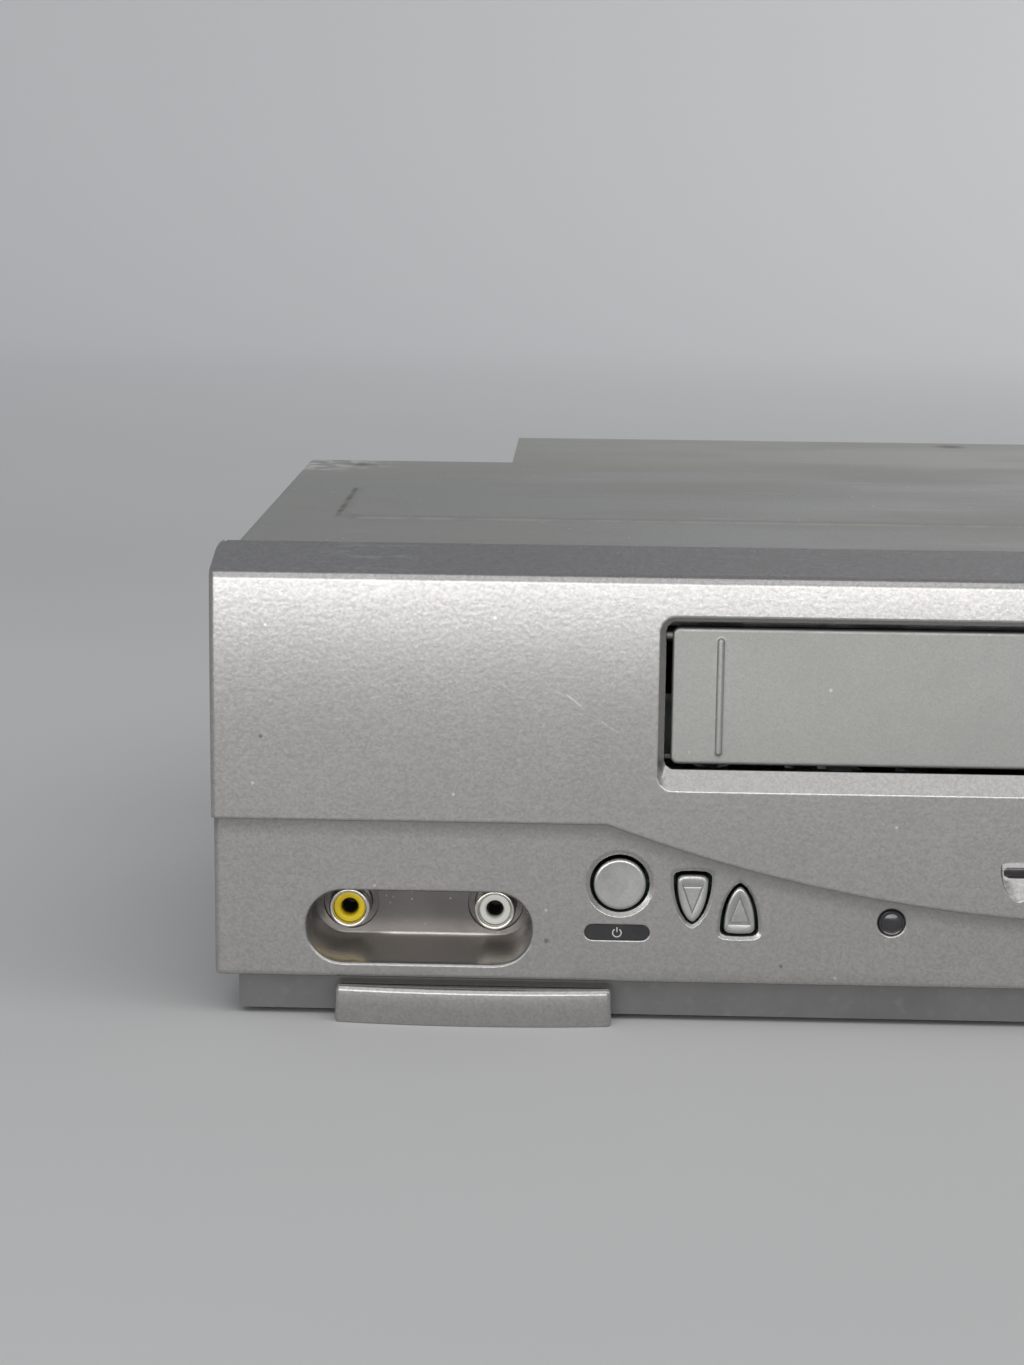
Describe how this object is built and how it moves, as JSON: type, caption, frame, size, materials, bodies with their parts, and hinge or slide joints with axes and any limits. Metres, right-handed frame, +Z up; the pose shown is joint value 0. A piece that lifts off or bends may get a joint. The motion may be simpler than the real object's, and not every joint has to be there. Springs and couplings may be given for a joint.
{
  "type": "video cassette recorder",
  "caption": "Compact front-loading video cassette recorder with a flap, front sockets, keys, a stepped steel cover and a working tape deck inside.",
  "frame": {"origin": "centre of the bounding box on the surface it stands on", "axes": "+X to the right seen from the front, +Y towards the rear, +Z up"},
  "size_m": [0.36, 0.224, 0.094],
  "materials": {
    "silver_paint": "metallic silver paint on moulded plastic",
    "door_paint": "satin silver paint on moulded plastic",
    "cap_paint": "bright silver paint on moulded plastic",
    "cover_paint": "silver grey paint on sheet steel",
    "rear_plastic": "dark grey moulded plastic",
    "black_plastic": "black moulded plastic",
    "smoke_lens": "dark smoked plastic",
    "lamp_lens": "dark clear plastic light pipe",
    "rubber_pad": "black rubber",
    "zinc": "zinc plated steel",
    "dark_screw": "black zinc plated steel",
    "nickel": "nickel plated brass",
    "yellow_plastic": "yellow moulded plastic",
    "white_plastic": "off-white moulded plastic",
    "green_board": "green solder mask on board",
    "brown_board": "brown paper board",
    "component_black": "black components",
    "ferrite_tape": "yellow tape over a ferrite core",
    "aluminium": "machined aluminium",
    "brass": "brass",
    "steel_shaft": "ground steel",
    "copper_coil": "enamelled copper coil",
    "cream_gear": "cream acetal"
  },
  "bodies": {
    "main_frame": {"front_panel": "silver_paint", "top_cover": "cover_paint", "chassis": "silver_paint", "rear_panel": "rear_plastic", "door_spring": "zinc", "indicator_lenses": "lamp_lens", "remote_lens": "smoke_lens", "standby_window": "black_plastic", "front_foot_left": "silver_paint", "front_foot_right": "silver_paint", "rear_feet": "rubber_pad", "screws": "dark_screw", "video_jack_shell": "nickel", "video_jack_insert": "yellow_plastic", "audio_jack_shell": "nickel", "audio_jack_insert": "white_plastic", "jack_block": "black_plastic", "front_board": "green_board", "front_board_parts": "component_black", "main_board": "green_board", "power_board": "brown_board", "board_components": "component_black", "power_transformer": "ferrite_tape", "heat_sink": "aluminium", "tuner_can": "zinc", "aerial_connectors": "brass", "rear_jack_shells": "nickel", "rear_jack_inserts": "white_plastic", "rear_jack_block": "black_plastic", "cord_gland": "black_plastic", "deck_plate": "zinc", "holder_frame": "zinc", "lower_drum": "aluminium", "capstan_motor": "copper_coil", "tape_heads": "zinc", "loading_motor": "zinc"},
    "power_button": {"power_button": "cap_paint"},
    "channel_down_button": {"channel_down_button": "cap_paint"},
    "channel_up_button": {"channel_up_button": "cap_paint"},
    "record_button": {"record_button": "cap_paint"},
    "pause_button": {"pause_button": "cap_paint"},
    "play_button": {"play_button": "cap_paint"},
    "rewind_button": {"rewind_button": "cap_paint"},
    "fast_forward_button": {"fast_forward_button": "cap_paint"},
    "stop_eject_button": {"stop_eject_button": "cap_paint"},
    "cassette_door": {"cassette_door": "door_paint"},
    "channel_switch": {"channel_switch": "black_plastic"},
    "holder_slider": {"holder_slider": "zinc"},
    "cassette_holder": {"cassette_holder": "zinc"},
    "upper_drum": {"upper_drum": "aluminium"},
    "capstan": {"capstan": "steel_shaft"},
    "pinch_arm": {"pinch_arm": "zinc"},
    "pinch_roller": {"pinch_roller": "rubber_pad"},
    "supply_reel": {"supply_reel": "black_plastic"},
    "take_up_reel": {"take_up_reel": "black_plastic"},
    "supply_guide": {"supply_guide": "brass"},
    "take_up_guide": {"take_up_guide": "brass"},
    "tension_arm": {"tension_arm": "zinc"},
    "loading_worm": {"loading_worm": "cream_gear"},
    "cam_gear": {"cam_gear": "cream_gear"}
  },
  "joints": [
    {"name": "power_press", "type": "slide", "parent": "main_frame", "child": "power_button", "axis": [0, 1, 0], "range_m": [0, 0.001], "stiffness_N_per_m": 300},
    {"name": "channel_down_press", "type": "slide", "parent": "main_frame", "child": "channel_down_button", "axis": [0, 1, 0], "range_m": [0, 0.001], "stiffness_N_per_m": 300},
    {"name": "channel_up_press", "type": "slide", "parent": "main_frame", "child": "channel_up_button", "axis": [0, 1, 0], "range_m": [0, 0.001], "stiffness_N_per_m": 300},
    {"name": "record_press", "type": "slide", "parent": "main_frame", "child": "record_button", "axis": [0, 1, 0], "range_m": [0, 0.001], "stiffness_N_per_m": 300},
    {"name": "pause_press", "type": "slide", "parent": "main_frame", "child": "pause_button", "axis": [0, 1, 0], "range_m": [0, 0.001], "stiffness_N_per_m": 300},
    {"name": "play_press", "type": "slide", "parent": "main_frame", "child": "play_button", "axis": [0, 1, 0], "range_m": [0, 0.001], "stiffness_N_per_m": 300},
    {"name": "rewind_press", "type": "slide", "parent": "main_frame", "child": "rewind_button", "axis": [0, 1, 0], "range_m": [0, 0.001], "stiffness_N_per_m": 300},
    {"name": "fast_forward_press", "type": "slide", "parent": "main_frame", "child": "fast_forward_button", "axis": [0, 1, 0], "range_m": [0, 0.001], "stiffness_N_per_m": 300},
    {"name": "stop_eject_press", "type": "slide", "parent": "main_frame", "child": "stop_eject_button", "axis": [0, 1, 0], "range_m": [0, 0.001], "stiffness_N_per_m": 300},
    {"name": "door_swing", "type": "hinge", "parent": "main_frame", "child": "cassette_door", "pos_m": [0.004, -0.1054, 0.0782], "axis": [1, 0, 0], "range_deg": [0, 80], "stiffness_Nm_per_rad": 0.004},
    {"name": "channel_select", "type": "slide", "parent": "main_frame", "child": "channel_switch", "axis": [1, 0, 0], "range_m": [0, 0.004]},
    {"name": "holder_load", "type": "slide", "parent": "main_frame", "child": "holder_slider", "axis": [0, 1, 0], "range_m": [0, 0.06]},
    {"name": "holder_drop", "type": "slide", "parent": "holder_slider", "child": "cassette_holder", "axis": [0, 0, -1], "range_m": [0, 0.022]},
    {"name": "drum_spin", "type": "hinge", "parent": "main_frame", "child": "upper_drum", "pos_m": [0.004, 0.053, 0.022], "axis": [0.0958, 0, 0.9954], "continuous": true},
    {"name": "capstan_spin", "type": "hinge", "parent": "main_frame", "child": "capstan", "pos_m": [0.066, 0.03, 0.02], "axis": [0, 0, 1], "continuous": true},
    {"name": "pinch_swing", "type": "hinge", "parent": "main_frame", "child": "pinch_arm", "pos_m": [0.088, 0.046, 0.027], "axis": [0, 0, 1], "range_deg": [0, 25]},
    {"name": "pinch_roll", "type": "hinge", "parent": "pinch_arm", "child": "pinch_roller", "pos_m": [0.06502, 0.04877, 0.034], "axis": [0, 0, 1], "continuous": true},
    {"name": "supply_reel_spin", "type": "hinge", "parent": "main_frame", "child": "supply_reel", "pos_m": [-0.0422, -0.037, 0.025], "axis": [0, 0, 1], "continuous": true},
    {"name": "take_up_reel_spin", "type": "hinge", "parent": "main_frame", "child": "take_up_reel", "pos_m": [0.0502, -0.037, 0.025], "axis": [0, 0, 1], "continuous": true},
    {"name": "supply_guide_run", "type": "slide", "parent": "main_frame", "child": "supply_guide", "axis": [-0.31, 0.9507, 0], "range_m": [0, 0.048]},
    {"name": "take_up_guide_run", "type": "slide", "parent": "main_frame", "child": "take_up_guide", "axis": [0.31, 0.9507, 0], "range_m": [0, 0.048]},
    {"name": "tension_swing", "type": "hinge", "parent": "main_frame", "child": "tension_arm", "pos_m": [-0.076, 0.034, 0.02], "axis": [0, 0, 1], "range_deg": [-10, 5], "stiffness_Nm_per_rad": 0.01},
    {"name": "cam_turn", "type": "hinge", "parent": "main_frame", "child": "cam_gear", "pos_m": [-0.062, 0.07, 0.025], "axis": [0, 0, 1], "continuous": true},
    {"name": "worm_turn", "type": "hinge", "parent": "main_frame", "child": "loading_worm", "pos_m": [-0.062, 0.0513, 0.0252], "axis": [1, 0, 0], "continuous": true}
  ],
  "couplings": [
    {"joint": "take_up_guide_run", "follows": "supply_guide_run", "ratio": 1},
    {"joint": "worm_turn", "follows": "cam_turn", "ratio": 24}
  ]
}
